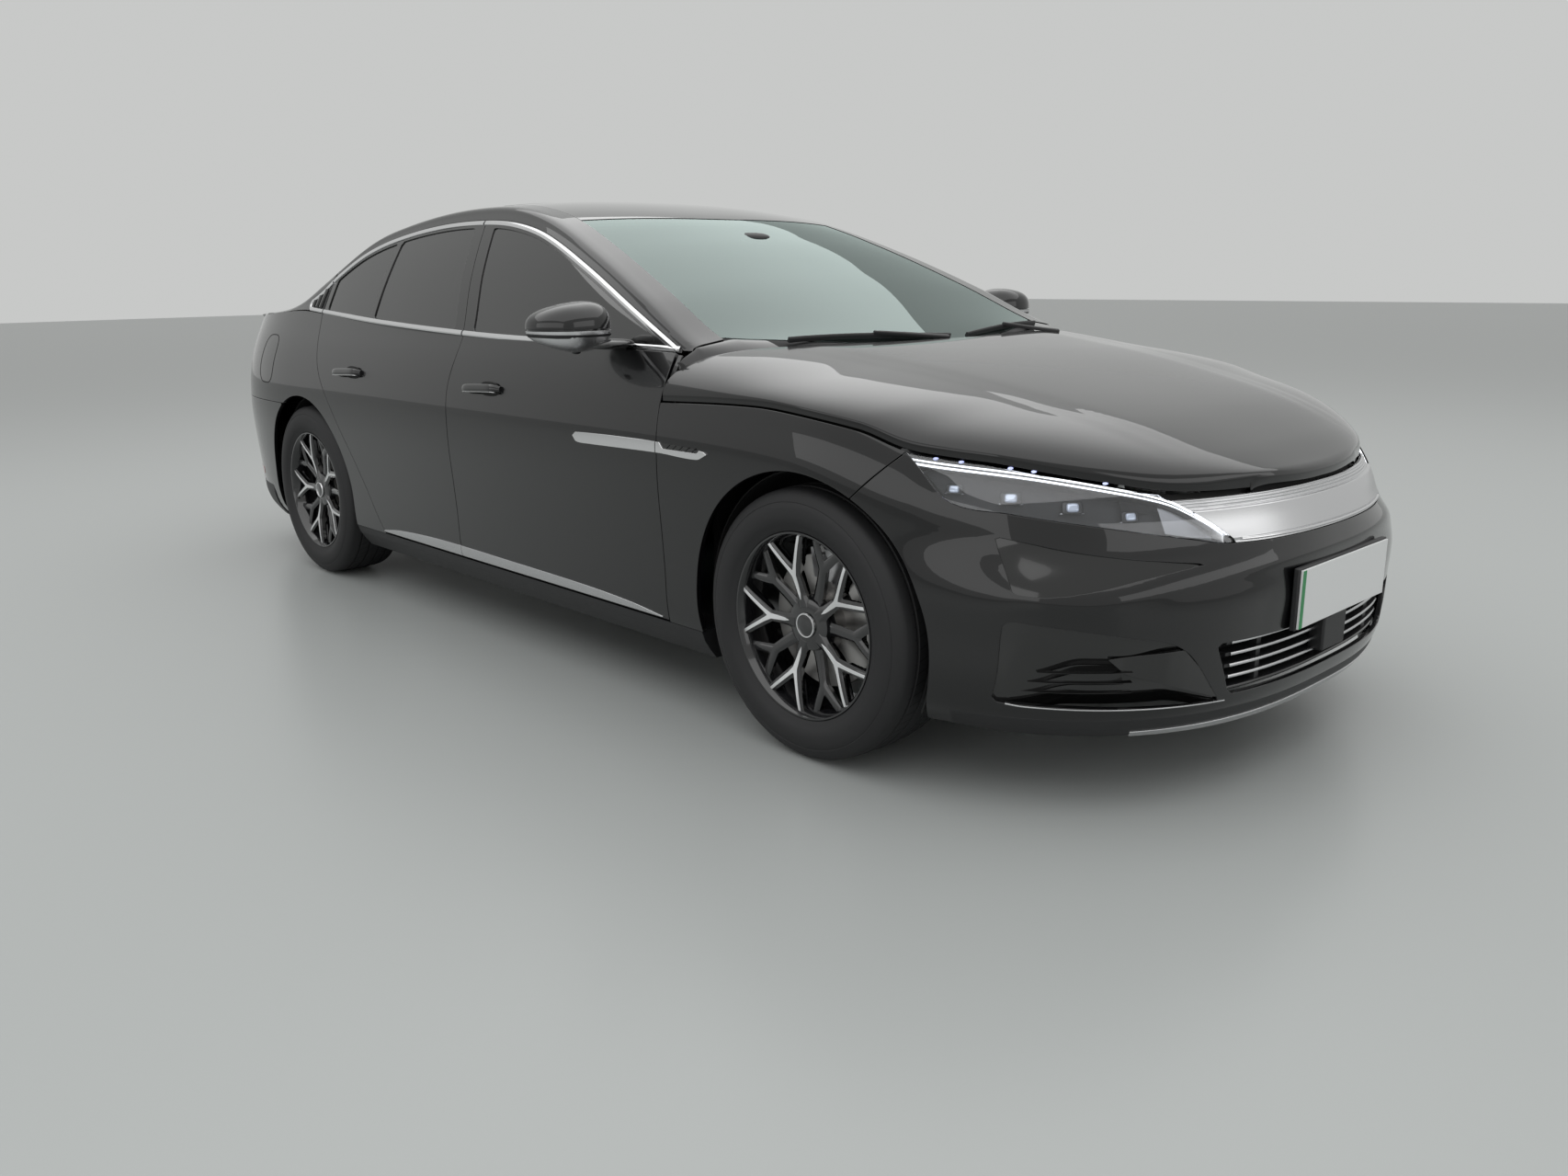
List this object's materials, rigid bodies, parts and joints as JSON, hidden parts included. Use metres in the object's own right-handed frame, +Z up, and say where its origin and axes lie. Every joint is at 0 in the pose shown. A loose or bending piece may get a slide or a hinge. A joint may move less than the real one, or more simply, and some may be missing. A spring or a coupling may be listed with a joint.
{
  "type": "sedan car",
  "caption": "Large battery-electric saloon with opening doors, bonnet and boot lid, steered front wheels and a furnished cabin.",
  "frame": {"origin": "on the ground under the middle of the car's length and width", "axes": "+X forward to the nose, +Y to the car's left, +Z up"},
  "size_m": [4.995, 2.2162, 1.4751],
  "materials": {
    "paint": "gloss black paint",
    "trim": "satin black",
    "steel": "primer",
    "alloy": "cast",
    "iron": "machined",
    "bright_trim": "satin",
    "glass": "tinted",
    "lamp": "clear cover over dark bezel",
    "tail_lamp": "red lens",
    "leather": "smooth",
    "tyre": "rubber",
    "rim": "machined face"
  },
  "bodies": {
    "body": {"floor_pan": "steel", "body_side_left": "paint", "body_side_right": "paint", "roof_panel": "paint", "sills": "trim", "fenders": "paint", "front_bumper": "paint", "front_grille": "trim", "front_light_bar": "bright_trim", "headlamps": "lamp", "rear_bumper": "paint", "tail_lamps": "tail_lamp", "windscreen": "glass", "rear_window": "glass", "dashboard": "trim", "steering_wheel": "trim", "front_seats": "leather", "rear_seat": "leather", "battery_pack": "alloy", "drive_unit": "alloy", "front_subframe": "steel", "rear_subframe": "steel", "rear_knuckles": "iron"},
    "bonnet": {"bonnet": "paint"},
    "boot_lid": {"boot_lid": "paint"},
    "door_front_left": {"front_door_left": "paint", "front_glass_left": "glass", "mirror_left": "paint"},
    "door_rear_left": {"rear_door_left": "paint", "rear_glass_left": "glass"},
    "knuckle_left": {"knuckle_left": "iron"},
    "wheel_front_left": {"tyre_front_left": "tyre", "rim_front_left": "rim"},
    "wheel_rear_left": {"tyre_rear_left": "tyre", "rim_rear_left": "rim"},
    "door_front_right": {"front_door_right": "paint", "front_glass_right": "glass", "mirror_right": "paint"},
    "door_rear_right": {"rear_door_right": "paint", "rear_glass_right": "glass"},
    "knuckle_right": {"knuckle_right": "iron"},
    "wheel_front_right": {"tyre_front_right": "tyre", "rim_front_right": "rim"},
    "wheel_rear_right": {"tyre_rear_right": "tyre", "rim_rear_right": "rim"}
  },
  "joints": [
    {"name": "steer_left", "type": "hinge", "parent": "body", "child": "knuckle_left", "pos_m": [1.5475, 0.78, 0.351], "axis": [0, 0, 1], "range_deg": [-35, 35]},
    {"name": "steer_right", "type": "hinge", "parent": "body", "child": "knuckle_right", "pos_m": [1.5475, -0.78, 0.351], "axis": [0, 0, 1], "range_deg": [-35, 35]},
    {"name": "wheel_spin_front_left", "type": "hinge", "parent": "knuckle_left", "child": "wheel_front_left", "pos_m": [1.5475, 0.82, 0.351], "axis": [0, 1, 0], "continuous": true},
    {"name": "wheel_spin_front_right", "type": "hinge", "parent": "knuckle_right", "child": "wheel_front_right", "pos_m": [1.5475, -0.82, 0.351], "axis": [0, 1, 0], "continuous": true},
    {"name": "wheel_spin_rear_left", "type": "hinge", "parent": "body", "child": "wheel_rear_left", "pos_m": [-1.3725, 0.82, 0.351], "axis": [0, 1, 0], "continuous": true},
    {"name": "wheel_spin_rear_right", "type": "hinge", "parent": "body", "child": "wheel_rear_right", "pos_m": [-1.3725, -0.82, 0.351], "axis": [0, 1, 0], "continuous": true},
    {"name": "door_front_left_hinge", "type": "hinge", "parent": "body", "child": "door_front_left", "pos_m": [0.9585, 0.942, 0.7], "axis": [0, 0, -1], "range_deg": [0, 65]},
    {"name": "door_front_right_hinge", "type": "hinge", "parent": "body", "child": "door_front_right", "pos_m": [0.9585, -0.942, 0.7], "axis": [0, 0, 1], "range_deg": [0, 65]},
    {"name": "door_rear_left_hinge", "type": "hinge", "parent": "body", "child": "door_rear_left", "pos_m": [-0.2015, 0.942, 0.7], "axis": [0, 0, -1], "range_deg": [0, 65]},
    {"name": "door_rear_right_hinge", "type": "hinge", "parent": "body", "child": "door_rear_right", "pos_m": [-0.2015, -0.942, 0.7], "axis": [0, 0, 1], "range_deg": [0, 65]},
    {"name": "bonnet_hinge", "type": "hinge", "parent": "body", "child": "bonnet", "pos_m": [1.0205, 0, 0.91515], "axis": [0, -1, 0], "range_deg": [0, 40]},
    {"name": "boot_hinge", "type": "hinge", "parent": "body", "child": "boot_lid", "pos_m": [-1.8495, 0, 1.09017], "axis": [0, 1, 0], "range_deg": [0, 65]}
  ],
  "couplings": [
    {"joint": "steer_right", "follows": "steer_left", "ratio": 1}
  ]
}
